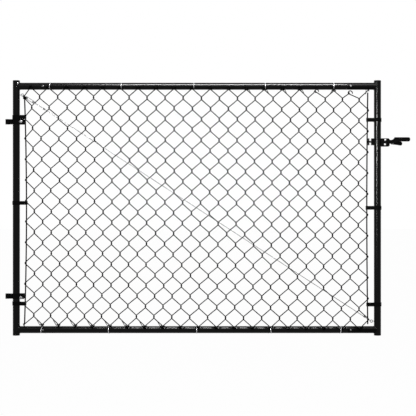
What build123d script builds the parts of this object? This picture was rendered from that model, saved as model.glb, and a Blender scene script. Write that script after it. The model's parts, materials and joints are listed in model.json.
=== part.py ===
from build123d import *
import math
import os

os.makedirs("parts", exist_ok=True)

# A chain link gate leaf, in millimetres. +X runs from the hinges to the latch, +Z is up and the
# front faces -Y. The origin is on the hinge axis, on the underside of the lower hinge's eye.

# Frame tubes
tube_radius = 15.9
tube_wall = 1.6
upright_spacing = 1625.0
rail_spacing = 1095.0
upright_above_rail = 23.0
upright_below_rail = 23.0
cap_height = 3.0
cap_rounding = 1.8
cap_plug_depth = 12.0

# Corner stubs and the rail ends swaged to fit in them
stub_reach = 136.0
swage_wall = 1.6
swage_depth = 60.0
swage_taper = 8.0
screw_inset = 14.0
screw_radius = 2.4
screw_head_radius = 4.5
screw_head_height = 2.5

# Hinges
hinge_reach = 38.0
lower_hinge_height = 139.5
hinge_spacing = 784.0
hinge_height = 23.0
hinge_strap = 3.0
eye_radius = 11.0
eye_bore_radius = 8.25
hinge_leg_reach = 38.0
hinge_bolt_radius = 3.9
hinge_bolt_clearance = 3.4
lower_hinge_bolt_drop = 6.0
hinge_bolt_head_radius = 6.8
hinge_bolt_head_height = 4.0
hinge_nut_radius = 7.0
hinge_nut_height = 6.0

# Tension rods and bands
rod_radius = 3.0
hinge_rod_reach = 39.0
hinge_rod_bow = 8.7
hinge_rod_top_gap = 30.0
latch_rod_reach = 45.5
latch_rod_bow = 4.3
latch_rod_top_gap = 14.0
rod_bottom_gap = 10.0
band_height = 17.0
band_strip = 2.0
band_drops_hinge_side = (139.0, 525.0, 977.0)
band_drops_latch_side = (547.0, 981.0)
band_above_latch = 98.0
band_bolt_radius = 2.4
band_bolt_head_radius = 5.5
band_bolt_head_height = 2.2
band_nut_height = 3.5

# Wire mesh
mesh_columns = 39
mesh_rows = 23
mesh_bar = 4.0
mesh_plane = -21.7
mesh_top_drop = 2.0
mesh_latch_side_drop = 14.3
mesh_row_hinge_side = 46.6
mesh_row_latch_side = 46.9
mesh_sway_top = (3.9, -6.7)
mesh_sway_bottom = (-9.5, -4.4)
mesh_corner_pull = (-8.9, 3.1)
mesh_corner_columns = 1.6
mesh_panels = 3

# Tie wires
tie_wire = 3.0
tie_past_knuckle = 10.0
top_tie_columns = (3, 11, 19, 27, 35)
bottom_tie_columns = (2, 10, 20, 28, 36)

# Anti-sag cable and its turnbuckle
cable_radius = 1.5
cable_top_drop = 39.5
cable_bottom_rise = 38.2
anchor_ring_radius = 5.5
anchor_wire_radius = 1.6
anchor_stem = 6.0
turnbuckle_start = 18.0
turnbuckle_length = 46.0
turnbuckle_width = 12.0
turnbuckle_thickness = 6.4
turnbuckle_boss = 8.0
turnbuckle_rod_radius = 2.4
turnbuckle_rod_reach = 8.0
turnbuckle_ring_radius = 6.0
turnbuckle_ring_wire = 1.4
cable_loop_length = 30.0
clamp_length = 9.0
clamp_width = 8.0

# Fork latch
latch_height = 845.0
bracket_height = 37.0
bracket_drop = 3.0
bracket_thickness = 14.0
bracket_wrap = 4.5
bracket_past_pivot = 12.0
bracket_rounding = 7.0
bracket_window_radius = 4.8
upper_window_reach = 7.1
upper_window_rise = 9.1
lower_window_reach = 8.5
lower_window_drop = 11.1
saddle_height = 30.0
saddle_width = 26.0
saddle_reach = 12.0
saddle_wrap = 8.0
nut_plate_height = 31.0
nut_plate_width = 16.0
nut_plate_thickness = 5.0
nut_plate_rounding = 3.0
nut_plate_gap = 9.5
latch_bolt_radius = 4.0
latch_bolt_bite = 12.0
latch_bolt_stub = 2.0
pivot_reach = 42.0
pivot_radius = 4.0
pivot_head_radius = 6.0
pivot_head_height = 2.5
fork_strip = 4.0
fork_height = 19.0
fork_cheek_height = 16.0
fork_gap = 66.0
fork_yoke_reach = 23.5
fork_knee_reach = 6.5
fork_lower_knee_reach = 26.0
fork_front_reach = 99.0
fork_front_rise = 9.0
fork_back_reach = 75.0
fork_back_drop = 2.6
fork_back_tip_drop = 7.0
fork_tip_rounding = 7.5

# Clearances
seat_gap = 0.15
close_gap = 0.3
running_gap = 0.08
pivot_side_gap = 0.4

# Places worked out from the sizes above
hinge_upright_x = hinge_reach
latch_upright_x = hinge_upright_x + upright_spacing
bottom_rail_z = -lower_hinge_height
top_rail_z = bottom_rail_z + rail_spacing
upright_bottom_z = bottom_rail_z - upright_below_rail
upright_top_z = top_rail_z + upright_above_rail
tube_bore_radius = tube_radius - tube_wall
latch_z = bottom_rail_z + latch_height
pivot_x = latch_upright_x + pivot_reach
swage_radius = tube_bore_radius - seat_gap


def finish(part, name):
    part.label = name
    export_step(part, f"parts/{name}.step")


# Uprights, each an open tube with a plug cap in both ends
for name, x in (("hinge_upright", hinge_upright_x), ("latch_upright", latch_upright_x)):
    with BuildPart() as upright:
        with BuildSketch(Plane.XY.offset(upright_bottom_z)):
            with Locations((x, 0)):
                Circle(tube_radius)
                Circle(tube_bore_radius, mode=Mode.SUBTRACT)
        extrude(amount=upright_top_z - upright_bottom_z)
        if name == "latch_upright":
            with Locations(Location((x, 0, latch_z), (0, 90, 0))):
                Cylinder(latch_bolt_radius + seat_gap, 4 * tube_radius, mode=Mode.SUBTRACT)
    finish(upright.part, name)

with BuildPart() as caps:
    for x in (hinge_upright_x, latch_upright_x):
        for end_z, outward in ((upright_top_z, 1), (upright_bottom_z, -1)):
            with BuildSketch(Plane(origin=(x, 0, end_z), z_dir=(0, 0, outward))):
                Circle(tube_radius)
            extrude(amount=cap_height)
            with BuildSketch(Plane(origin=(x, 0, end_z), z_dir=(0, 0, -outward))):
                Circle(tube_bore_radius - seat_gap)
            extrude(amount=cap_plug_depth)
    rims = caps.edges().filter_by(GeomType.CIRCLE).group_by(Axis.Z)
    fillet([*rims[0], *rims[-1]], cap_rounding)
finish(caps.part, "upright_caps")


# Corner stubs: short tubes coped to the uprights, coaxial with the rails
def corner_stub(upright_x, inward, rail_z):
    with BuildPart() as stub:
        with BuildSketch(Plane(origin=(upright_x, 0, rail_z), z_dir=(inward, 0, 0))):
            Circle(tube_radius)
            Circle(tube_bore_radius, mode=Mode.SUBTRACT)
        extrude(amount=stub_reach)
        with Locations((upright_x, 0, rail_z)):
            Cylinder(tube_radius, 4 * tube_radius, mode=Mode.SUBTRACT)
    return stub.part


for name, x, inward, z in (
    ("top_hinge_stub", hinge_upright_x, 1, top_rail_z),
    ("bottom_hinge_stub", hinge_upright_x, 1, bottom_rail_z),
    ("top_latch_stub", latch_upright_x, -1, top_rail_z),
    ("bottom_latch_stub", latch_upright_x, -1, bottom_rail_z),
):
    with BuildPart() as stub_part:
        add(corner_stub(x, inward, z))
        screw_x = x + inward * (stub_reach - screw_inset)
        with Locations(Location((screw_x, -tube_radius / 2, z), (90, 0, 0))):
            Cylinder(screw_radius, 2 * tube_radius, mode=Mode.SUBTRACT)
    finish(stub_part.part, name)

# Rails: tubes between the stubs, with an end swaged down to slide in each stub
rail_start = hinge_upright_x + stub_reach
rail_end = latch_upright_x - stub_reach
for name, z in (("top_rail", top_rail_z), ("bottom_rail", bottom_rail_z)):
    with BuildPart() as rail:
        with BuildSketch(Plane.XZ) as rail_profile:
            with BuildLine():
                Polyline(
                    (rail_start - swage_depth, z + swage_radius - swage_wall),
                    (rail_start - swage_depth, z + swage_radius),
                    (rail_start, z + swage_radius),
                    (rail_start, z + tube_radius),
                    (rail_end, z + tube_radius),
                    (rail_end, z + swage_radius),
                    (rail_end + swage_depth, z + swage_radius),
                    (rail_end + swage_depth, z + swage_radius - swage_wall),
                    (rail_end, z + swage_radius - swage_wall),
                    (rail_end - swage_taper, z + tube_bore_radius),
                    (rail_start + swage_taper, z + tube_bore_radius),
                    (rail_start, z + swage_radius - swage_wall),
                    close=True,
                )
            make_face()
        revolve(axis=Axis((0, 0, z), (1, 0, 0)))
        for screw_x in (rail_start - screw_inset, rail_end + screw_inset):
            with Locations(Location((screw_x, -tube_radius / 2, z), (90, 0, 0))):
                Cylinder(screw_radius, 2 * tube_radius, mode=Mode.SUBTRACT)
    finish(rail.part, name)

    with BuildPart() as screws:
        for screw_x in (rail_start - screw_inset, rail_end + screw_inset):
            with BuildSketch(Plane(origin=(screw_x, -tube_radius - screw_head_height, z), z_dir=(0, 1, 0))):
                Circle(screw_head_radius)
            extrude(amount=screw_head_height - seat_gap)
            with BuildSketch(Plane(origin=(screw_x, -tube_radius - seat_gap, z), z_dir=(0, 1, 0))):
                Circle(screw_radius - seat_gap)
            extrude(amount=tube_radius - swage_radius + 4 * swage_wall)
        fillet(screws.edges().filter_by(GeomType.CIRCLE).group_by(Axis.Y)[0], screw_head_height * 0.6)
    finish(screws.part, f"{name}_screws")


# Hinge straps: an eye for the post's pintle, a web, and a U round the upright whose two legs are bolted
def hinge_strap_part(eye_z, bolt_z):
    wrap_inner = tube_radius + seat_gap
    wrap_outer = wrap_inner + hinge_strap
    with BuildPart() as strap:
        with BuildSketch(Plane.XY.offset(eye_z)):
            Circle(eye_radius)
            with Locations((hinge_reach / 2, 0)):
                Rectangle(hinge_reach, 4 * hinge_strap)
            with Locations((hinge_upright_x, 0)):
                Circle(wrap_outer)
            with Locations((hinge_upright_x + hinge_leg_reach / 2, 0)):
                Rectangle(hinge_leg_reach, 2 * wrap_outer)
            with Locations((hinge_upright_x, 0)):
                Circle(wrap_inner, mode=Mode.SUBTRACT)
            with Locations((hinge_upright_x + hinge_leg_reach / 2, 0)):
                Rectangle(hinge_leg_reach, 2 * wrap_inner, mode=Mode.SUBTRACT)
            Circle(eye_bore_radius, mode=Mode.SUBTRACT)
        extrude(amount=hinge_height)
        with Locations(Location((hinge_bolt_x, 0, bolt_z), (90, 0, 0))):
            Cylinder(hinge_bolt_radius + seat_gap, 4 * wrap_outer, mode=Mode.SUBTRACT)
    return strap.part


hinge_bolt_x = hinge_upright_x + tube_radius + hinge_bolt_radius + hinge_bolt_clearance
hinge_face = tube_radius + seat_gap + hinge_strap
lower_bolt_z = hinge_height / 2 - lower_hinge_bolt_drop
upper_bolt_z = hinge_spacing + hinge_height / 2
for name, eye_z, bolt_z in (("lower", 0.0, lower_bolt_z), ("upper", hinge_spacing, upper_bolt_z)):
    finish(hinge_strap_part(eye_z, bolt_z), f"{name}_hinge_strap")
    bolt_end = hinge_face + hinge_nut_height + hinge_strap
    with BuildPart() as bolt:
        with BuildSketch(Plane(origin=(hinge_bolt_x, -hinge_face, bolt_z), z_dir=(0, -1, 0))):
            Circle(hinge_bolt_head_radius)
        extrude(amount=hinge_bolt_head_height)
        fillet(bolt.edges().group_by(Axis.Y)[0], hinge_bolt_head_height * 0.7)
        with BuildSketch(Plane(origin=(hinge_bolt_x, -hinge_face, bolt_z), z_dir=(0, 1, 0))):
            Circle(hinge_bolt_radius)
        extrude(amount=hinge_face + bolt_end)
    finish(bolt.part, f"{name}_hinge_bolt")
with BuildPart() as nuts:
    for bolt_z in (lower_bolt_z, upper_bolt_z):
        with BuildSketch(Plane(origin=(hinge_bolt_x, hinge_face, bolt_z), z_dir=(0, 1, 0))):
            RegularPolygon(hinge_nut_radius, 6)
            Circle(hinge_bolt_radius + running_gap, mode=Mode.SUBTRACT)
        extrude(amount=hinge_nut_height)
finish(nuts.part, "hinge_nuts")


# Tension rods: each an arc that bows a little towards the mesh
rod_y = -(tube_radius + seat_gap) + close_gap + rod_radius
rod_bottom_z = bottom_rail_z + tube_radius + rod_bottom_gap
hinge_rod_top_z = top_rail_z - tube_radius - hinge_rod_top_gap
latch_rod_top_z = top_rail_z - tube_radius - latch_rod_top_gap


def rod_x(side, z):
    if side > 0:
        upright_x, reach, bow, top_z = hinge_upright_x, hinge_rod_reach, hinge_rod_bow, hinge_rod_top_z
    else:
        upright_x, reach, bow, top_z = latch_upright_x, latch_rod_reach, latch_rod_bow, latch_rod_top_z
    middle_z = (top_z + rod_bottom_z) / 2
    share = (z - middle_z) / (top_z - middle_z)
    return upright_x + side * (reach + bow * (1 - share ** 2))


for name, side, top_z in (("hinge_side_rod", 1, hinge_rod_top_z), ("latch_side_rod", -1, latch_rod_top_z)):
    middle_z = (top_z + rod_bottom_z) / 2
    with BuildPart() as rod:
        with BuildLine() as rod_line:
            ThreePointArc(
                (rod_x(side, rod_bottom_z), rod_y, rod_bottom_z),
                (rod_x(side, middle_z), rod_y, middle_z),
                (rod_x(side, top_z), rod_y, top_z),
            )
        with BuildSketch(Plane(origin=rod_line.line @ 0, z_dir=rod_line.line % 0)):
            Circle(rod_radius)
        sweep()
    finish(rod.part, name)


# Tension bands: a strip round the upright whose front leg runs on to hook round the rod, and a
# back leg that meets it, with a bolt through both
def band_part(side, z):
    upright_x = hinge_upright_x if side > 0 else latch_upright_x
    reach = side * (rod_x(side, z) - upright_x)
    inner = tube_radius + seat_gap
    outer = inner + band_strip
    hook_inner = rod_radius + close_gap
    hook_outer = hook_inner + band_strip
    leg_back_y = rod_y + hook_inner
    with BuildPart() as band:
        with BuildSketch(Plane(origin=(upright_x, 0, z - band_height / 2), x_dir=(side, 0, 0))):
            with Locations((0, 0)):
                Circle(outer)
            with Locations((reach / 2, side * rod_y)):
                Rectangle(reach, 2 * hook_outer)
            with Locations((reach, side * rod_y)):
                Circle(hook_outer)
            Circle(inner, mode=Mode.SUBTRACT)
            with Locations((reach / 2, side * rod_y)):
                Rectangle(reach, 2 * hook_inner, mode=Mode.SUBTRACT)
            with Locations((reach, side * rod_y)):
                Circle(hook_inner, mode=Mode.SUBTRACT)
        extrude(amount=band_height)
        with Locations(Location((upright_x + side * band_bolt_reach, rod_y, z), (90, 0, 0))):
            Cylinder(band_bolt_radius + seat_gap, 6 * hook_outer, mode=Mode.SUBTRACT)
    return band.part, rod_y - hook_outer, rod_y + hook_outer


band_bolt_reach = tube_radius + band_strip + band_bolt_head_radius + 2 * close_gap
hinge_band_heights = [top_rail_z - drop for drop in band_drops_hinge_side]
latch_band_heights = [latch_z + band_above_latch, *(top_rail_z - drop for drop in band_drops_latch_side)]
for word, side, heights in (("hinge", 1, hinge_band_heights), ("latch", -1, latch_band_heights)):
    upright_x = hinge_upright_x if side > 0 else latch_upright_x
    with BuildPart() as band_bolts:
        for number, z in enumerate(heights, start=1):
            band, front_y, back_y = band_part(side, z)
            finish(band, f"{word}_side_band_{number}")
            x = upright_x + side * band_bolt_reach
            with BuildSketch(Plane(origin=(x, front_y, z), z_dir=(0, -1, 0))):
                Circle(band_bolt_head_radius)
            extrude(amount=band_bolt_head_height)
            with BuildSketch(Plane(origin=(x, front_y, z), z_dir=(0, 1, 0))):
                Circle(band_bolt_radius)
            extrude(amount=back_y - front_y)
            with BuildSketch(Plane(origin=(x, back_y, z), z_dir=(0, 1, 0))):
                RegularPolygon(band_bolt_head_radius, 6)
            extrude(amount=band_nut_height)
    finish(band_bolts.part, f"{word}_side_band_bolts")


# Wire mesh: zigzag wires fused where neighbours meet, in three panels side by side
mesh_top_z = top_rail_z - mesh_top_drop
slope_run = (upright_spacing - hinge_rod_reach - latch_rod_reach) / mesh_columns
wire_half = mesh_bar / 2 * math.hypot(slope_run, mesh_row_hinge_side) / mesh_row_hinge_side


def mesh_point(column, row):
    across = column / mesh_columns
    down = row / mesh_rows
    pitch = mesh_row_hinge_side + (mesh_row_latch_side - mesh_row_hinge_side) * across
    z = mesh_top_z - mesh_latch_side_drop * across - row * pitch
    left = rod_x(1, z)
    right = rod_x(-1, z)
    first = mesh_sway_top[0] + (mesh_sway_bottom[0] - mesh_sway_top[0]) * down
    second = mesh_sway_top[1] + (mesh_sway_bottom[1] - mesh_sway_top[1]) * down
    sway = first * math.sin(math.pi * across) + second * math.sin(2 * math.pi * across)
    # The first columns crowd to the hinge side at the top and open out at the bottom
    pull = mesh_corner_pull[0] + (mesh_corner_pull[1] - mesh_corner_pull[0]) * down
    near = column / mesh_corner_columns
    sway += pull * near * math.exp(1 - near)
    return left + (right - left) * across + sway, z


def picket_outline(picket, left_inset, right_inset):
    left_edge = []
    right_edge = []
    for row in range(mesh_rows + 1):
        on_left = (picket + row) % 2 == 1
        x, z = mesh_point(picket if on_left else picket + 1, row)
        x += left_inset if on_left else -right_inset
        left_edge.append((x - wire_half, z))
        right_edge.append((x + wire_half, z))
    return left_edge + right_edge[::-1]


panel_gap = wire_half + seat_gap
for panel, name in enumerate(("mesh_hinge_side", "mesh_middle", "mesh_latch_side")):
    per_panel = mesh_columns // mesh_panels
    first = panel * per_panel
    last = first + per_panel - 1
    with BuildPart() as mesh:
        back_y = mesh_plane + mesh_bar / 2
        with BuildSketch(Plane(origin=(0, back_y, 0), x_dir=(1, 0, 0), z_dir=(0, -1, 0))):
            for picket in range(first, last + 1):
                left_inset = panel_gap if picket == first and panel > 0 else 0
                right_inset = panel_gap if picket == last and panel < mesh_panels - 1 else 0
                with BuildLine():
                    Polyline(*picket_outline(picket, left_inset, right_inset), close=True)
                make_face()
        extrude(amount=mesh_bar)
    finish(mesh.part, name)

# Tie wires: a loop round the rail and the mesh knuckle in front of it
tie_front = -mesh_plane + mesh_bar / 2 + close_gap
for name, rail_z, columns, row, inward in (
    ("top_ties", top_rail_z, top_tie_columns, 0, -1),
    ("bottom_ties", bottom_rail_z, bottom_tie_columns, mesh_rows, 1),
):
    with BuildPart() as ties:
        for column in columns:
            x, z = mesh_point(column, row)
            hold = max(inward * (z - rail_z) + tie_past_knuckle, tube_radius / 2)
            plane = Plane(origin=(x - tie_wire / 2, 0, rail_z), x_dir=(0, 1, 0), z_dir=(1, 0, 0))
            for spread, mode in ((tie_wire, Mode.ADD), (0.0, Mode.SUBTRACT)):
                with BuildSketch(plane):
                    Circle(tube_radius + close_gap + spread)
                    with Locations((-tie_front + tie_wire, inward * hold)):
                        Circle(tie_wire + spread)
                    with Locations((-tie_front + tie_wire, -inward * tube_radius / 2)):
                        Circle(tie_wire + spread)
                    make_hull()
                extrude(amount=tie_wire, mode=mode)
    finish(ties.part, name)

# Anti-sag cable: two screw eyes, a turnbuckle with a hook and an eye, and a straight cable
upper_anchor = Vector(hinge_upright_x + tube_radius, 0, top_rail_z - cable_top_drop)
lower_anchor = Vector(latch_upright_x - tube_radius, 0, bottom_rail_z + cable_bottom_rise)
ring_centre = anchor_stem + anchor_ring_radius
upper_ring = upper_anchor + Vector(ring_centre, 0, 0)
lower_ring = lower_anchor - Vector(ring_centre, 0, 0)
cable_direction = (lower_ring - upper_ring).normalized()
cable_across = Vector(0, 1, 0)
for name, anchor, ring, inward in (
    ("cable_anchor_upper", upper_anchor, upper_ring, 1),
    ("cable_anchor_lower", lower_anchor, lower_ring, -1),
):
    with BuildPart() as screw_eye:
        with BuildSketch(Plane(origin=ring, z_dir=(0, 1, 0)).offset(-anchor_wire_radius)):
            Circle(anchor_ring_radius + anchor_wire_radius)
            Circle(anchor_ring_radius - anchor_wire_radius, mode=Mode.SUBTRACT)
        extrude(amount=2 * anchor_wire_radius)
        with BuildSketch(Plane(origin=anchor + Vector(inward * seat_gap, 0, 0), z_dir=(inward, 0, 0))):
            Circle(anchor_wire_radius)
        extrude(amount=anchor_stem - seat_gap)
    finish(screw_eye.part, name)


# A link along the cable: a ring of wire at its centre, and a threaded stem that leaves it
def link_part(centre, direction, stem):
    across = direction.cross(cable_across)
    with BuildPart() as link:
        with BuildSketch(Plane(origin=centre, z_dir=across).offset(-turnbuckle_ring_wire)):
            Circle(turnbuckle_ring_radius + turnbuckle_ring_wire)
            Circle(turnbuckle_ring_radius - turnbuckle_ring_wire, mode=Mode.SUBTRACT)
        extrude(amount=2 * turnbuckle_ring_wire)
        with BuildSketch(Plane(origin=centre + direction * turnbuckle_ring_radius, z_dir=direction)):
            Circle(turnbuckle_rod_radius)
        extrude(amount=stem - turnbuckle_ring_radius)
    return link.part


hook_offset = anchor_ring_radius - anchor_wire_radius + turnbuckle_ring_radius
hook_centre = upper_ring + cable_direction * (hook_offset - turnbuckle_ring_wire - 2 * close_gap)
body_start = upper_ring + cable_direction * turnbuckle_start
body_end = body_start + cable_direction * turnbuckle_length
body_plane = Plane(origin=body_start, x_dir=cable_direction, z_dir=(0, 1, 0))
with BuildPart() as turnbuckle:
    with BuildSketch(body_plane.offset(-turnbuckle_thickness / 2)):
        with Locations((turnbuckle_length / 2, 0)):
            RectangleRounded(turnbuckle_length, turnbuckle_width, turnbuckle_width * 0.3)
            RectangleRounded(
                turnbuckle_length - 2 * turnbuckle_boss,
                turnbuckle_width * 0.55,
                turnbuckle_width * 0.2,
                mode=Mode.SUBTRACT,
            )
    extrude(amount=turnbuckle_thickness)
    with BuildSketch(Plane(origin=body_start - cable_direction, z_dir=cable_direction)):
        Circle(turnbuckle_rod_radius + running_gap)
    extrude(amount=turnbuckle_length + 2, mode=Mode.SUBTRACT)
finish(turnbuckle.part, "turnbuckle_body")

thread_end = turnbuckle_boss + turnbuckle_rod_reach / 3
hook_stem = (body_start - hook_centre).length + thread_end
finish(link_part(hook_centre, cable_direction, hook_stem), "turnbuckle_hook")
eye_centre = body_end + cable_direction * (turnbuckle_rod_reach + turnbuckle_ring_radius)
eye_stem = (eye_centre - body_end).length + thread_end
finish(link_part(eye_centre, -cable_direction, eye_stem), "turnbuckle_eye")

cable_start = eye_centre + cable_direction * (turnbuckle_ring_radius + turnbuckle_ring_wire + seat_gap)
cable_end = lower_ring - cable_direction * (anchor_ring_radius + anchor_wire_radius + seat_gap)
with BuildPart() as cable:
    with BuildSketch(Plane(origin=cable_start, z_dir=cable_direction)):
        Circle(cable_radius)
    extrude(amount=(cable_end - cable_start).length)
finish(cable.part, "anti_sag_cable")

with BuildPart() as clamps:
    for centre in (
        cable_start + cable_direction * cable_loop_length,
        cable_end - cable_direction * cable_loop_length,
    ):
        plane = Plane(origin=centre - cable_direction * clamp_length / 2, z_dir=cable_direction)
        with BuildSketch(plane):
            Rectangle(clamp_width, clamp_width)
            Circle(cable_radius + running_gap, mode=Mode.SUBTRACT)
        extrude(amount=clamp_length)
finish(clamps.part, "cable_clamps")

# Fork latch: a bracket bolted through the upright, with a saddle and a nut plate inside, and a
# fork that pivots up on a pin across the bracket
bracket_start = latch_upright_x + tube_radius - bracket_wrap
bracket_end = pivot_x + bracket_past_pivot
with BuildPart() as bracket:
    with BuildSketch(Plane(origin=(0, bracket_thickness / 2, latch_z), x_dir=(1, 0, 0),
                           z_dir=(0, -1, 0))) as face:
        with Locations(((bracket_start + bracket_end) / 2, -bracket_drop)):
            Rectangle(bracket_end - bracket_start, bracket_height)
        fillet(face.vertices().group_by(Axis.X)[-1], bracket_rounding)
        with Locations(
            (pivot_x - upper_window_reach, upper_window_rise),
            (pivot_x - lower_window_reach, -lower_window_drop),
        ):
            Circle(bracket_window_radius, mode=Mode.SUBTRACT)
        with Locations((pivot_x, 0)):
            Circle(pivot_radius + running_gap, mode=Mode.SUBTRACT)
    extrude(amount=bracket_thickness)
    with Locations((latch_upright_x, 0, latch_z)):
        Cylinder(tube_radius + seat_gap, 2 * bracket_height, mode=Mode.SUBTRACT)
    with Locations(Location((latch_upright_x + tube_radius, 0, latch_z), (0, 90, 0))):
        Cylinder(latch_bolt_radius + seat_gap, 2 * latch_bolt_bite, mode=Mode.SUBTRACT)
finish(bracket.part, "latch_bracket")

saddle_face_x = latch_upright_x - tube_radius - saddle_reach
with BuildPart() as saddle:
    with BuildSketch(Plane(origin=(saddle_face_x, 0, latch_z), z_dir=(1, 0, 0), x_dir=(0, 1, 0))):
        Rectangle(saddle_width, saddle_height)
        Circle(latch_bolt_radius + seat_gap, mode=Mode.SUBTRACT)
    extrude(amount=saddle_reach + saddle_wrap)
    with Locations((latch_upright_x, 0, latch_z)):
        Cylinder(tube_radius + seat_gap, 2 * saddle_height, mode=Mode.SUBTRACT)
finish(saddle.part, "latch_saddle")

plate_x = saddle_face_x - nut_plate_gap - nut_plate_thickness
with BuildPart() as nut_plate:
    with BuildSketch(Plane(origin=(plate_x, 0, latch_z), z_dir=(1, 0, 0), x_dir=(0, 1, 0))):
        RectangleRounded(nut_plate_width, nut_plate_height, nut_plate_rounding)
        Circle(latch_bolt_radius + running_gap, mode=Mode.SUBTRACT)
    extrude(amount=nut_plate_thickness)
finish(nut_plate.part, "latch_nut_plate")

bolt_start_x = plate_x - latch_bolt_stub
bolt_end_x = latch_upright_x + tube_radius + latch_bolt_bite - seat_gap
with BuildPart() as mounting_bolt:
    with BuildSketch(Plane(origin=(bolt_start_x, 0, latch_z), z_dir=(1, 0, 0))):
        Circle(latch_bolt_radius)
    extrude(amount=bolt_end_x - bolt_start_x)
finish(mounting_bolt.part, "latch_mounting_bolt")

cheek_inner = bracket_thickness / 2 + pivot_side_gap
cheek_outer = cheek_inner + fork_strip
pin_half = cheek_outer + pivot_side_gap
with BuildPart() as pin:
    with BuildSketch(Plane(origin=(pivot_x, pin_half, latch_z), z_dir=(0, -1, 0))):
        Circle(pivot_radius)
    extrude(amount=2 * pin_half)
    for outward in (1, -1):
        with BuildSketch(Plane(origin=(pivot_x, outward * pin_half, latch_z), z_dir=(0, outward, 0))):
            Circle(pivot_head_radius)
        extrude(amount=pivot_head_height)
finish(pin.part, "latch_pivot_pin")

yoke_x = pivot_x + fork_yoke_reach
tine_face = fork_gap / 2 + fork_strip
half = fork_height / 2
with BuildPart() as fork:
    for outward, reach, rise, tip_rise in (
        (-1, fork_front_reach, fork_front_rise, fork_front_rise),
        (1, fork_back_reach, -fork_back_drop, -fork_back_tip_drop),
    ):
        # The cheek that hangs on the pin
        with BuildSketch(Plane(origin=(pivot_x, outward * cheek_inner, latch_z), x_dir=(1, 0, 0),
                               z_dir=(0, outward, 0))):
            Circle(fork_cheek_height / 2)
            with Locations(((fork_yoke_reach + fork_strip) / 2, 0)):
                Rectangle(fork_yoke_reach + fork_strip, fork_cheek_height)
            Circle(pivot_radius + running_gap, mode=Mode.SUBTRACT)
        extrude(amount=fork_strip)
        # The tine, which runs out past the gatepost with its tip rounded
        tip = reach - fork_yoke_reach
        outline = [
            (0, -half), (0, half), (fork_knee_reach, rise + half), (tip, tip_rise + half),
            (tip, tip_rise - half), (fork_lower_knee_reach, rise - half),
        ]
        with BuildSketch(Plane(origin=(yoke_x, outward * tine_face, latch_z), x_dir=(1, 0, 0),
                               z_dir=(0, -outward, 0))) as tine:
            with BuildLine():
                Polyline(*[(x, z * outward) for x, z in outline], close=True)
            make_face()
            fillet(tine.vertices().group_by(Axis.X)[-1], fork_tip_rounding)
        extrude(amount=fork_strip)
    # The crosspiece that joins cheeks and tines
    with BuildSketch(Plane(origin=(yoke_x, 0, latch_z), x_dir=(0, 1, 0), z_dir=(1, 0, 0))):
        Rectangle(2 * tine_face, fork_height)
    extrude(amount=fork_strip)
finish(fork.part, "latch_fork")
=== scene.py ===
import bpy
import json
import math
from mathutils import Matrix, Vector, noise


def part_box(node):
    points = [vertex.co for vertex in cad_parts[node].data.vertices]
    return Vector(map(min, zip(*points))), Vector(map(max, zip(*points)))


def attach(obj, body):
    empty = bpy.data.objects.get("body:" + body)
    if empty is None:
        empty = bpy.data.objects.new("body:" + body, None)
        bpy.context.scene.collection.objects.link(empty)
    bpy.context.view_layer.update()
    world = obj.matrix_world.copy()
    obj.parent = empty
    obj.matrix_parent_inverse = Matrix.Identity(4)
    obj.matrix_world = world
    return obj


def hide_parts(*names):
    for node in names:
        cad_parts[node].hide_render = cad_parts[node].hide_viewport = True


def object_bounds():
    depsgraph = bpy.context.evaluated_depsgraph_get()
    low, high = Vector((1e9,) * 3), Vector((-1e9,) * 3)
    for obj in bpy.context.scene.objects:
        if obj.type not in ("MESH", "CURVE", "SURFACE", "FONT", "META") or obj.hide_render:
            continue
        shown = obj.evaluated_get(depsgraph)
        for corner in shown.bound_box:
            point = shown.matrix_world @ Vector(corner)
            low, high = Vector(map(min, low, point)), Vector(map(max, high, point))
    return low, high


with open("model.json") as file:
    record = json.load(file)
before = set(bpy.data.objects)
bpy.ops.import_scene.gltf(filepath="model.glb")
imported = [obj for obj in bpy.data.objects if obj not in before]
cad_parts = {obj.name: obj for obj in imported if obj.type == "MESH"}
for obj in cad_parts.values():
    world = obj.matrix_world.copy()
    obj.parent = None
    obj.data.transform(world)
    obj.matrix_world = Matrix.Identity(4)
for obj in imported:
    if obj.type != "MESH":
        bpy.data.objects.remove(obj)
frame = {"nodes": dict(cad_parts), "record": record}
cad_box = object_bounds()
nodes = frame["nodes"]
LEAF = "gate_leaf"

# Photograph: pixels to metres in the plane of the frame's tubes
PIXEL = 0.0045
PHOTO_SIZE = 416
PHOTO_CENTRE = 208.0
HINGE_AXIS_PX = 7.9
LOWER_EYE_PY = 298.6
CAMERA_DISTANCE = 5.2
SENSOR = 36.0

# Sizes shared with the construction, in metres
TUBE_RADIUS = (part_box("hinge_upright")[1].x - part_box("hinge_upright")[0].x) / 2
HINGE_UPRIGHT_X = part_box("hinge_upright")[0].x + TUBE_RADIUS
LATCH_UPRIGHT_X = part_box("latch_upright")[1].x - TUBE_RADIUS
TOP_RAIL_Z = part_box("top_rail")[0].z + TUBE_RADIUS
BOTTOM_RAIL_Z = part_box("bottom_rail")[0].z + TUBE_RADIUS


def make_object(name, verts, faces, material, body=LEAF, replaced=()):
    """A smooth mesh piece that rides on a body and may stand for some of the frame's nodes."""
    data = bpy.data.meshes.new(name)
    data.from_pydata([tuple(v) for v in verts], [], faces)
    data.validate()
    data.polygons.foreach_set("use_smooth", [True] * len(data.polygons))
    piece = bpy.data.objects.new(name, data)
    bpy.context.scene.collection.objects.link(piece)
    data.materials.append(material)
    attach(piece, body)
    if replaced:
        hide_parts(*replaced)


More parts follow.
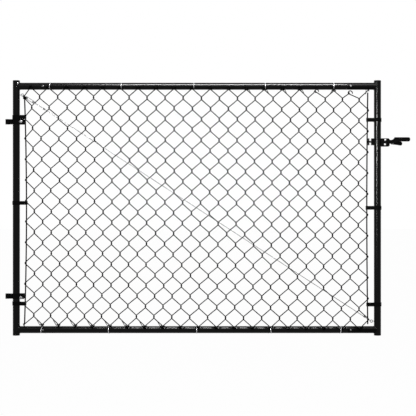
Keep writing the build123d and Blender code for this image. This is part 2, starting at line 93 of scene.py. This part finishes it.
def sweep(verts, faces, path, radius, sides, closed=False):
    """Adds a round tube along a path to the lists, with rings that don't twist and closed ends."""
    count = len(path)
    first = len(verts)
    tangents = []
    for i in range(count):
        before = path[(i - 1) % count] if closed or i > 0 else path[0]
        after = path[(i + 1) % count] if closed or i < count - 1 else path[-1]
        tangents.append((after - before).normalized())
    side = tangents[0].orthogonal().normalized()
    for i in range(count):
        side = (side - tangents[i] * side.dot(tangents[i])).normalized()
        up = tangents[i].cross(side)
        for k in range(sides):
            turn = 2 * math.pi * k / sides
            verts.append(path[i] + (side * math.cos(turn) + up * math.sin(turn)) * radius)
    rings = count if closed else count - 1
    for i in range(rings):
        a = first + i * sides
        b = first + ((i + 1) % count) * sides
        for k in range(sides):
            n = (k + 1) % sides
            faces.append((a + k, a + n, b + n, b + k))
    if not closed:
        faces.append(tuple(first + k for k in reversed(range(sides))))
        faces.append(tuple(first + (count - 1) * sides + k for k in range(sides)))


# Materials
COAT_TINT = 0.06
COAT_PATCH_SCALE = 9.0
METAL_TINTS = (0.03, 0.02)
METAL_GLOSS_RANGE = (0.8, 1.25)
METAL_BUMP = 0.25
GRAIN_DEPTH = 0.0002


def new_material(name):
    material = bpy.data.materials.new(name)
    material.use_nodes = True
    tree = material.node_tree
    return material, tree, tree.nodes["Principled BSDF"]


def noise_node(tree, scale, detail=4.0, roughness=0.6):
    coordinates = tree.nodes.new("ShaderNodeTexCoord")
    texture = tree.nodes.new("ShaderNodeTexNoise")
    texture.inputs["Scale"].default_value = scale
    texture.inputs["Detail"].default_value = detail
    texture.inputs["Roughness"].default_value = roughness
    tree.links.new(coordinates.outputs["Object"], texture.inputs["Vector"])
    return texture.outputs["Fac"]


def ramp_to(tree, source, stops, target):
    """Drives a shader's input from a noise through two stops, each a position and a colour."""
    ramp = tree.nodes.new("ShaderNodeValToRGB")
    for element, (position, colour) in zip(ramp.color_ramp.elements, stops):
        element.position = position
        element.color = colour
    tree.links.new(source, ramp.inputs["Fac"])
    tree.links.new(ramp.outputs["Color"], target)


def bump_from(tree, shader, source, strength):
    bump = tree.nodes.new("ShaderNodeBump")
    bump.inputs["Strength"].default_value = strength
    bump.inputs["Distance"].default_value = GRAIN_DEPTH
    tree.links.new(source, bump.inputs["Height"])
    tree.links.new(bump.outputs["Normal"], shader.inputs["Normal"])


def grey(value, tint=0.0):
    return (value, value, value * (1 + tint), 1.0)


def coated_metal(name, tones, rough, specular, grain, bump):
    """A sprayed or dipped coat: a fine orange peel, and slow changes of tone and gloss."""
    material, tree, shader = new_material(name)
    shader.inputs["Specular IOR Level"].default_value = specular
    patches = noise_node(tree, COAT_PATCH_SCALE)
    dark, light = (grey(tone, COAT_TINT) for tone in tones)
    ramp_to(tree, patches, [(0.3, dark), (0.75, light)], shader.inputs["Base Color"])
    low, high = (grey(value) for value in rough)
    ramp_to(tree, patches, [(0.25, low), (0.8, high)], shader.inputs["Roughness"])
    bump_from(tree, shader, noise_node(tree, grain, 2.0), bump)
    return material


def bare_metal(name, tones, roughness, grain):
    """Bare or plated metal, with a mottled tone, gloss and fine bump from one noise."""
    material, tree, shader = new_material(name)
    shader.inputs["Metallic"].default_value = 1.0
    mottle = noise_node(tree, grain, 6.0, 0.7)
    dark, light = (grey(tone, tint) for tone, tint in zip(tones, METAL_TINTS))
    ramp_to(tree, mottle, [(0.3, dark), (0.7, light)], shader.inputs["Base Color"])
    low, high = (grey(roughness * factor) for factor in METAL_GLOSS_RANGE)
    ramp_to(tree, mottle, [(0.2, low), (0.8, high)], shader.inputs["Roughness"])
    bump_from(tree, shader, mottle, METAL_BUMP)
    return material


BLACK = (0.0012, 0.0024)
black_coat = coated_metal(
    "black_powder_coat", BLACK, rough=(0.2, 0.25), specular=0.08, grain=420.0, bump=0.008)
black_fittings = coated_metal(
    "black_fitting_coat", BLACK, rough=(0.3, 0.4), specular=0.03, grain=600.0, bump=0.06)
black_wire = coated_metal(
    "black_vinyl_wire", BLACK, rough=(0.35, 0.5), specular=0.008, grain=1500.0, bump=0.05)
black_cap = coated_metal(
    "black_cap_plastic", (0.002, 0.0035), rough=(0.45, 0.6), specular=0.03, grain=1200.0, bump=0.1)
tie_metal = bare_metal("soft_aluminium_wire", (0.5, 0.66), roughness=0.34, grain=260.0)
cable_metal = bare_metal("bright_zinc", (0.09, 0.18), roughness=0.4, grain=320.0)
bolt_metal = bare_metal("dull_zinc_bolt", (0.14, 0.22), roughness=0.55, grain=300.0)
screw_metal = bare_metal("dark_zinc_screw", (0.05, 0.12), roughness=0.45, grain=300.0)

NODE_MATERIALS = {
    "black_paint": black_coat,
    "black_plastic": black_cap,
    "mesh_wire": black_wire,
    "tie_wire": tie_metal,
    "galvanized": cable_metal,
    "zinc_hardware": bolt_metal,
}
FITTINGS = ("band", "strap", "latch", "fork")
SLOTS = {row["node"]: row["material_slot"] for row in frame["record"]["subparts"]}
for name, node in nodes.items():
    material = NODE_MATERIALS[SLOTS[name]]
    fitting = any(word in name for word in FITTINGS) and "upright" not in name
    if material is black_coat and fitting:
        material = black_fittings
    if name.endswith("_rod"):
        material = black_wire
    if name.endswith("_rail_screws"):
        material = screw_metal
    node.data.materials.clear()
    node.data.materials.append(material)

# Wire mesh, woven from flattened spirals that hook through their neighbours
COLUMNS = 39
ROWS = 23
PER_PANEL = 13
WIRE_RADIUS = 0.00225
WIRE_SIDES = 8
FINE_SIDES = 10
# How far a wire stands out from the mesh's plane, reaches round its neighbour and drops at a knuckle
WEAVE_DEPTH = 0.0033
HOOK_REACH = 0.0015
BEND_HEIGHT = 0.0062
BEND_STEPS = 7
# The top line of the mesh, and the height of a row by the hinges and by the latch
MESH_TOP_Z = TOP_RAIL_Z - 0.002
LATCH_SIDE_DROP = 0.0143
ROW_HINGE_SIDE = 0.0466
ROW_LATCH_SIDE = 0.0469
# Sideways sway of the mesh as half a wave and as one wave across, at its top and at its bottom
SWAY_TOP = (0.0039, -0.0067)
SWAY_BOTTOM = (-0.0095, -0.0044)
# Sideways pull of the first columns by the hinges, at the top and at the bottom
CORNER_PULL = (-0.0089, 0.0031)
CORNER_COLUMNS = 1.6
# Small wander of the knuckles, read off a layer of noise that this seed alone settles
WANDER = 0.0022
WANDER_SCALE = 7
WANDER_LAYER = 1.3
NOISE_SEED = 1
noise.seed_set(NOISE_SEED)
# The mesh lies before the rails, and comes back to the rods' plane within this width
RAIL_GAP = 0.0006
RAIL_PLANE = -(TUBE_RADIUS + WEAVE_DEPTH + WIRE_RADIUS + RAIL_GAP)
ROD_PULL_WIDTH = 0.05


def rod_line(node):
    low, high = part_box(node)
    return low, high, (low.y + high.y) / 2


HINGE_ROD = rod_line("hinge_side_rod")
LATCH_ROD = rod_line("latch_side_rod")
ROD_RADIUS = (HINGE_ROD[1].y - HINGE_ROD[0].y) / 2
ROD_PLANE = HINGE_ROD[2]
# The wider bends that take hold of the rods
EDGE_DEPTH = WEAVE_DEPTH + ROD_RADIUS * 0.35
EDGE_REACH = ROD_RADIUS + WIRE_RADIUS * 0.9


def rod_x(side, z):
    """The x of a bowed rod's centre line at height z; side is 1 by the hinges, -1 by the latch."""
    low, high, _ = HINGE_ROD if side > 0 else LATCH_ROD
    middle = (low.z + high.z) / 2
    half = (high.z - low.z) / 2
    bow = high.x - low.x - 2 * ROD_RADIUS
    outer = low.x + ROD_RADIUS if side > 0 else high.x - ROD_RADIUS
    return outer + side * bow * (1 - ((z - middle) / half) ** 2)


def mesh_point(column, row):
    """Where a knuckle lies, with columns counted from the hinges and rows from the top."""
    across = column / COLUMNS
    down = row / ROWS
    pitch = ROW_HINGE_SIDE + (ROW_LATCH_SIDE - ROW_HINGE_SIDE) * across
    z = MESH_TOP_Z - LATCH_SIDE_DROP * across - row * pitch
    left = rod_x(1, z)
    right = rod_x(-1, z)
    first = SWAY_TOP[0] + (SWAY_BOTTOM[0] - SWAY_TOP[0]) * down
    second = SWAY_TOP[1] + (SWAY_BOTTOM[1] - SWAY_TOP[1]) * down
    corner = CORNER_PULL[0] + (CORNER_PULL[1] - CORNER_PULL[0]) * down
    near = column / CORNER_COLUMNS
    x = left + (right - left) * across + first * math.sin(math.pi * across)
    x += second * math.sin(2 * math.pi * across) + corner * near * math.exp(1 - near)
    if 0 < column < COLUMNS:
        place = Vector((x * WANDER_SCALE, z * WANDER_SCALE, WANDER_LAYER))
        wander = noise.noise_vector(place) * WANDER
        x += wander.x
        z += wander.z
    nearest = min(x - left, right - x)
    pull = math.exp(-max(nearest, 0) / ROD_PULL_WIDTH)
    return Vector((x, RAIL_PLANE + (ROD_PLANE - RAIL_PLANE) * pull, z))


def bend(column, row, side):
    """A wire's hooked bend at one knuckle, from above to below; side is 1 if it opens to the left."""
    centre = mesh_point(column, row)
    edge = column in (0, COLUMNS)
    depth = EDGE_DEPTH if edge else WEAVE_DEPTH
    reach = EDGE_REACH if edge else HOOK_REACH
    points = []
    for step in range(BEND_STEPS):
        turn = -math.pi / 2 + math.pi * step / (BEND_STEPS - 1)
        points.append(centre + Vector((
            side * reach * math.cos(turn),
            side * depth * math.sin(turn),
            -BEND_HEIGHT * turn / (math.pi / 2),
        )))
    return points


# Cut ends: a wire comes up to its neighbour, turns over it and runs back a little
END_APPROACH = (0.0012, 0.006)
END_HOOK_STEPS = 4
END_HOOK_START = 0.0008
END_HOOK_WIDTH = 0.0028
END_HOOK_RISE = 0.004
END_HOOK_DROP = 0.001
END_STUB = 0.006
END_STUB_RETURN = 0.2
# Top knuckles that hang below the rail, and those whose wire ends in an open curl of this size
TOP_DROPS = {33: 0.0045, 35: 0.003, 37: 0.0105}
OPEN_CURLS = {33: 0.007, 37: 0.0095}
CURL_SHIFT = {33: 0.0065, 37: 0.012}
# A curl's arc in degrees, its place beside the knuckle as shares of its size, and its last tip
CURL_STEPS = 10
CURL_START = 200
CURL_SWEEP = 190
CURL_ASIDE = 0.9
CURL_DROP = 0.75
CURL_RETURN = 0.5
CURL_TIP = Vector((0.0012, 0.0006, -0.0045))
# Where the neighbour's end meets an open curl, from the knuckle
CURL_MEETING = Vector((-0.0115, 0, -0.0065))


def knuckle_point(column, row):
    point = mesh_point(column, row)
    if row == 0:
        point.z -= TOP_DROPS.get(column, 0)
    return point


def wire_lean(column, row):
    """How far a wire runs across for each metre it goes down, near this knuckle."""
    across = mesh_point(min(COLUMNS, column + 1), row) - mesh_point(max(0, column - 1), row)
    return abs(across.x) / 2 / ROW_HINGE_SIDE


def outward(row):
    """1 at the mesh's top edge, where outward is up, and -1 at its bottom edge."""
    return 1 if row == 0 else -1


def knuckled_end(column, row, side):
    """A wire's cut end, turned over at the edge of the mesh beside its neighbour."""
    tip = knuckle_point(column, row)
    if row == 0 and column in OPEN_CURLS:
        tip += CURL_MEETING
    sign = outward(row)
    front = -side * sign * WEAVE_DEPTH
    points = [tip + Vector((-side * END_APPROACH[0], front, -sign * END_APPROACH[1]))]
    for step in range(END_HOOK_STEPS + 1):
        turn = math.pi * step / END_HOOK_STEPS
        points.append(tip + Vector((
            side * (END_HOOK_START + END_HOOK_WIDTH * (1 - math.cos(turn)) / 2),
            front * math.cos(turn),
            sign * (END_HOOK_RISE * math.sin(turn) - END_HOOK_DROP),
        )))
    stub = Vector((side * wire_lean(column, row) * END_STUB, -front * END_STUB_RETURN, -sign * END_STUB))
    points.append(points[-1] + stub)
    return points


def open_curl(column):
    """A top end that stands open: the wire rises to the left and curls over to the right."""
    tip = knuckle_point(column, 0)
    size = OPEN_CURLS[column]
    points = []
    for step in range(CURL_STEPS + 1):
        turn = math.radians(CURL_START - CURL_SWEEP * step / CURL_STEPS)
        points.append(tip + Vector((
            size * (CURL_ASIDE + math.cos(turn)) - CURL_SHIFT[column],
            -WEAVE_DEPTH * (1 - CURL_RETURN * step / CURL_STEPS),
            size * (math.sin(turn) - CURL_DROP),
        )))
    points.append(points[-1] + CURL_TIP)
    return points


def picket_path(picket):
    """One wire of the mesh from its top end to its bottom end."""
    path = []
    for row in range(ROWS + 1):
        on_left = (picket + row) % 2 == 1
        column = picket if on_left else picket + 1
        side = -1 if on_left else 1
        if row == 0 and on_left and column in OPEN_CURLS:
            path.extend(reversed(open_curl(column)))
        elif row == 0:
            path.extend(reversed(knuckled_end(column, row, side)))
        elif row == ROWS:
            path.extend(knuckled_end(column, row, side))
        else:
            path.extend(bend(column, row, side))
    return path


# Bent back tails that show beside the knuckles: columns, row, side (1 to the right) and length
TAILS = (
    ((25, 27, 29, 31), 0, 1, 0.02),
    ((35, 39), 0, -1, 0.02),
    ((2, 4, 6, 8, 10, 12, 14, 16), ROWS, -1, 0.027),
)
TAIL_RADIUS = 0.0015
TAIL_STEPS = 5
TAIL_ASIDE = 0.002
TAIL_SPREAD = 0.0062
TAIL_BOW = 0.003
TAIL_START = 0.001


def tail_path(column, row, side, length):
    """A tail that runs back from a knuckle beside the wire that it hooks."""
    tip = knuckle_point(column, row)
    lean = wire_lean(column, row)
    points = []
    for step in range(TAIL_STEPS + 1):
        share = step / TAIL_STEPS
        points.append(tip + Vector((
            side * (TAIL_ASIDE + lean * length * share + TAIL_SPREAD * (1 - share)),
            -WEAVE_DEPTH - TAIL_BOW * math.sin(math.pi * share),
            -outward(row) * (TAIL_START + length * share),
        )))
    return points


verts, faces = [], []
for columns, row, side, length in TAILS:
    for column in columns:
        sweep(verts, faces, tail_path(column, row, side, length), TAIL_RADIUS, WIRE_SIDES)
make_object("bent_back_tails", verts, faces, black_wire)

# The first picket's top end, wound round the head of the tension rod by the hinges
COIL_TURNS = 2.5
COIL_STEPS = 40
COIL_DROP = 0.007
COIL_GAP = 0.0003
COIL_RADIUS = ROD_RADIUS + WIRE_RADIUS + COIL_GAP
verts, faces = [], []
path = []
for step in range(COIL_STEPS + 1):
    share = step / COIL_STEPS
    turn = 2 * math.pi * COIL_TURNS * share
    z = HINGE_ROD[1].z - COIL_DROP + (share - 0.5) * COIL_TURNS * 2 * WIRE_RADIUS
    path.append(Vector((
        rod_x(1, z) + COIL_RADIUS * math.cos(turn),
        ROD_PLANE + COIL_RADIUS * math.sin(turn),
        z,
    )))
sweep(verts, faces, path, WIRE_RADIUS, FINE_SIDES)
make_object("rod_top_coil", verts, faces, black_wire)

for panel, node in enumerate(("mesh_hinge_side", "mesh_middle", "mesh_latch_side")):
    verts, faces = [], []
    for picket in range(panel * PER_PANEL, (panel + 1) * PER_PANEL):
        sweep(verts, faces, picket_path(picket), WIRE_RADIUS, WIRE_SIDES)
    make_object(f"woven_{node}", verts, faces, black_wire, replaced=(node,))

# Tie wires: soft wire round the rail and the mesh, its ends lapped behind the rail.
# Each has its column of the mesh, its lean along the rail and its offset from the knuckle
TOP_TIES = (
    (3, 0.022, 0.008), (11, 0.002, 0.006), (19, 0.001, 0.008), (27, 0.002, 0.006), (35, 0.003, 0.0),
)
BOTTOM_TIES = (
    (2, 0.028, -0.002), (10, 0.003, -0.006), (20, -0.004, -0.008), (28, -0.02, 0.0), (36, 0.014, -0.002),
)
TIE_RADIUS = 0.00115
TIE_STEPS = 40
TIE_START = math.radians(150)
TIE_SWEEP = math.radians(470)
TIE_WAVE = 0.0006
TIE_WAVE_TURN = 9


def tie_path(x, rail_z, lean):
    """A turn and a third of soft wire round the rail, wider in front where it holds the mesh."""
    around = TUBE_RADIUS + TIE_RADIUS
    front = -RAIL_PLANE + WEAVE_DEPTH + WIRE_RADIUS
    points = []
    for step in range(TIE_STEPS + 1):
        share = step / TIE_STEPS
        turn = TIE_START + share * TIE_SWEEP
        y = -math.cos(turn)
        z = math.sin(turn)
        forward = max(0.0, -y)
        hold = around + (front + TIE_RADIUS - around) * forward ** 2
        points.append(Vector((
            x + lean * (share - 0.5) + TIE_WAVE * math.sin(share * TIE_WAVE_TURN),
            y * (hold if y < 0 else around),
            rail_z + z * around,
        )))
    return points


for name, node, rail_z, row, ties in (
    ("top_tie_wires", "top_ties", TOP_RAIL_Z, 0, TOP_TIES),
    ("bottom_tie_wires", "bottom_ties", BOTTOM_RAIL_Z, ROWS, BOTTOM_TIES),
):
    verts, faces = [], []
    for column, lean, offset in ties:
        x = mesh_point(column, row).x + offset
        sweep(verts, faces, tie_path(x, rail_z, lean), TIE_RADIUS, FINE_SIDES)
    make_object(name, verts, faces, tie_metal, replaced=(node,))

# Anti-sag cable, six strands laid round a core
CABLE_STRANDS = 6
CABLE_PITCH = 0.03
CABLE_STEPS_A_TURN = 10
STRAND_SHARE = 0.34
STRAND_SIDES = 5
CORE_SHARE = 0.5
CORE_SIDES = 6
cable_low, cable_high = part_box("anti_sag_cable")
cable_start = Vector((cable_low.x, 0, cable_high.z))
cable_end = Vector((cable_high.x, 0, cable_low.z))
cable_along = (cable_end - cable_start).normalized()
cable_side = Vector((0, 1, 0))
cable_up = cable_along.cross(cable_side)
cable_radius = (cable_high.y - cable_low.y) / 2
cable_start += cable_along * cable_radius
cable_end -= cable_along * cable_radius
cable_run = cable_end - cable_start
strand_radius = cable_radius * STRAND_SHARE
lay_radius = cable_radius - strand_radius
cable_steps = int(cable_run.length / CABLE_PITCH * CABLE_STEPS_A_TURN)
verts, faces = [], []
for strand in range(CABLE_STRANDS):
    path = []
    for step in range(cable_steps + 1):
        share = step / cable_steps
        turn = 2 * math.pi * (cable_run.length * share / CABLE_PITCH + strand / CABLE_STRANDS)
        offset = (cable_side * math.cos(turn) + cable_up * math.sin(turn)) * lay_radius
        path.append(cable_start + cable_run * share + offset)
    sweep(verts, faces, path, strand_radius, STRAND_SIDES)
sweep(verts, faces, [cable_start, cable_end], cable_radius * CORE_SHARE, CORE_SIDES)
make_object("stranded_cable", verts, faces, cable_metal, replaced=("anti_sag_cable",))

# Weld beads where the corner stubs meet the uprights
BEAD_RADIUS = 0.0017
BEAD_STEPS = 64
BEAD_SIDES = 8
BEAD_RIPPLES = 21
BEAD_RIPPLE = 0.06
BEAD_STAND = BEAD_RADIUS * 0.35
BEAD_WIDTH = 0.995
verts, faces = [], []
for upright_x, inward in ((HINGE_UPRIGHT_X, 1), (LATCH_UPRIGHT_X, -1)):
    for rail_z in (TOP_RAIL_Z, BOTTOM_RAIL_Z):
        path = []
        for step in range(BEAD_STEPS):
            turn = 2 * math.pi * step / BEAD_STEPS
            y = TUBE_RADIUS * math.cos(turn)
            z = TUBE_RADIUS * math.sin(turn)
            ripple = 1 + BEAD_RIPPLE * math.sin(turn * BEAD_RIPPLES)
            reach = math.sqrt(max(TUBE_RADIUS ** 2 - y * y, 0)) + BEAD_STAND
            path.append(Vector((upright_x + inward * reach, y * ripple * BEAD_WIDTH, rail_z + z)))
        sweep(verts, faces, path, BEAD_RADIUS, BEAD_SIDES, closed=True)
make_object("weld_beads", verts, faces, black_coat)

# A small bright screw near the top of the hinge upright, with a domed head
SCREW_X = 0.0478
SCREW_Z = 0.9665
SCREW_RADIUS = 0.0034
SCREW_HEIGHT = 0.002
SCREW_SINK = 0.0006
SCREW_SIDES = 24
DOME_STEPS = 6
DOME_SPAN = 0.96
RIM_SHARE = 0.35
screw_turn = math.asin((SCREW_X - HINGE_UPRIGHT_X) / TUBE_RADIUS)
screw_axis = Vector((math.sin(screw_turn), -math.cos(screw_turn), 0))
screw_side = Vector((math.cos(screw_turn), math.sin(screw_turn), 0))
screw_up = Vector((0, 0, 1))
seat = Vector((HINGE_UPRIGHT_X, 0, SCREW_Z)) + screw_axis * (TUBE_RADIUS - SCREW_SINK)
profile = [(SCREW_RADIUS, 0.0)]
for step in range(DOME_STEPS + 1):
    turn = math.pi / 2 * step / DOME_STEPS
    rise = RIM_SHARE + (1 - RIM_SHARE) * math.sin(turn)
    profile.append((SCREW_RADIUS * math.cos(turn * DOME_SPAN), SCREW_HEIGHT * rise))
verts, faces = [], []
for radius, height in profile:
    for k in range(SCREW_SIDES):
        turn = 2 * math.pi * k / SCREW_SIDES
        around = screw_side * math.cos(turn) + screw_up * math.sin(turn)
        verts.append(seat + screw_axis * height + around * radius)
for ring in range(len(profile) - 1):
    a = ring * SCREW_SIDES
    b = a + SCREW_SIDES
    for k in range(SCREW_SIDES):
        n = (k + 1) % SCREW_SIDES
        faces.append((a + k, b + k, b + n, a + n))
faces.append(tuple(range(SCREW_SIDES)))
last_ring = (len(profile) - 1) * SCREW_SIDES
faces.append(tuple(last_ring + k for k in reversed(range(SCREW_SIDES))))
make_object("corner_screw", verts, faces, tie_metal)

# Floor and background, both white to the camera and in reflections
FLOOR_DROP = 0.6
FLOOR_REACH = 60.0
FLOOR_COLOUR = (0.95, 0.95, 0.95, 1)
FLOOR_GLOW_SHARE = 0.97
AMBIENT_STRENGTH = 0.7


def math_node(tree, operation, first, second):
    """Joins a value with another value or with a plain number."""
    joint = tree.nodes.new("ShaderNodeMath")
    joint.operation = operation
    tree.links.new(first, joint.inputs[0])
    if isinstance(second, float):
        joint.inputs[1].default_value = second
    else:
        tree.links.new(second, joint.inputs[1])
    return joint.outputs[0]


def mix_to_surface(tree, kind, share, plain, seen):
    """Mixes what lights the object with what the camera sees, into an output of this kind."""
    mix = tree.nodes.new("ShaderNodeMixShader")
    tree.links.new(share, mix.inputs[0])
    tree.links.new(plain.outputs[0], mix.inputs[1])
    tree.links.new(seen.outputs[0], mix.inputs[2])
    tree.links.new(mix.outputs[0], tree.nodes.new(kind).inputs["Surface"])


def seen_rays(tree, *kinds):
    """1 for rays of these kinds and 0 for all others."""
    rays = tree.nodes.new("ShaderNodeLightPath").outputs
    value = rays[kinds[0]]
    for kind in kinds[1:]:
        value = math_node(tree, "MAXIMUM", value, rays[kind])
    return value


floor_z = cad_box[0].z - FLOOR_DROP
floor_mesh = bpy.data.meshes.new("floor")
corners = ((-1, -1), (1, -1), (1, 1), (-1, 1))
floor_mesh.from_pydata(
    [(x * FLOOR_REACH, y * FLOOR_REACH, floor_z) for x, y in corners], [], [(0, 1, 2, 3)])
floor = bpy.data.objects.new("floor", floor_mesh)
bpy.context.scene.collection.objects.link(floor)
floor_material = bpy.data.materials.new("white_floor")
floor_material.use_nodes = True
tree = floor_material.node_tree
tree.nodes.clear()
diffuse = tree.nodes.new("ShaderNodeBsdfDiffuse")
diffuse.inputs["Color"].default_value = FLOOR_COLOUR
glow = tree.nodes.new("ShaderNodeEmission")
glow.inputs["Strength"].default_value = 1.0
seen = seen_rays(tree, "Is Camera Ray", "Is Glossy Ray")
glow_share = math_node(tree, "MULTIPLY", seen, FLOOR_GLOW_SHARE)
mix_to_surface(tree, "ShaderNodeOutputMaterial", glow_share, diffuse, glow)
floor_mesh.materials.append(floor_material)

world = bpy.data.worlds.new("white_studio")
bpy.context.scene.world = world
world.use_nodes = True
tree = world.node_tree
tree.nodes.clear()
ambient = tree.nodes.new("ShaderNodeBackground")
ambient.inputs["Strength"].default_value = AMBIENT_STRENGTH
backdrop = tree.nodes.new("ShaderNodeBackground")
backdrop.inputs["Color"].default_value = (1, 1, 1, 1)
backdrop.inputs["Strength"].default_value = 1.0
seen = seen_rays(tree, "Is Camera Ray", "Is Glossy Ray", "Is Transmission Ray")
mix_to_surface(tree, "ShaderNodeOutputWorld", seen, ambient, backdrop)


def area_light(name, place, target, size, power, gloss_only=False, spread=180):
    """An area lamp; a gloss_only one gives its highlight and leaves the plain light level alone."""
    lamp = bpy.data.lights.new(name, "AREA")
    lamp.shape = "RECTANGLE"
    lamp.size, lamp.size_y = size
    lamp.energy = power
    lamp.spread = math.radians(spread)
    lamp_object = bpy.data.objects.new(name, lamp)
    lamp_object.location = place
    direction = Vector(target) - Vector(place)
    lamp_object.rotation_euler = direction.to_track_quat("-Z", "Y").to_euler()
    lamp_object.visible_diffuse = not gloss_only
    bpy.context.scene.collection.objects.link(lamp_object)


area_light("front", place=(0.4, -2.8, 1.9), target=(0.9, 0, 0.4), size=(1.4, 0.8), power=14)
area_light("back", place=(0.9, 2.5, 1.8), target=(0.9, 0, 0.4), size=(2.0, 1.0), power=15)
area_light("rail_strip", place=(1.05, -1.2, 2.32), target=(1.05, 0, 0.95), size=(1.5, 0.24),
           power=100, gloss_only=True, spread=90)
area_light("post_strip", place=(0.45, -2.2, 0.82), target=(1.7, 0, 0.75), size=(0.05, 0.5),
           power=7, gloss_only=True, spread=40)

centre_x = (PHOTO_CENTRE - HINGE_AXIS_PX) * PIXEL
centre_z = (LOWER_EYE_PY - PHOTO_CENTRE) * PIXEL
camera_data = bpy.data.cameras.new("camera")
camera_data.sensor_width = SENSOR
camera_data.lens = SENSOR * CAMERA_DISTANCE / (PHOTO_SIZE * PIXEL)
camera = bpy.data.objects.new("camera", camera_data)
camera.location = (centre_x, -CAMERA_DISTANCE, centre_z)
camera.rotation_euler = (math.radians(90), 0, 0)
bpy.context.scene.collection.objects.link(camera)
bpy.context.scene.camera = camera
bpy.context.scene.view_settings.view_transform = "Standard"
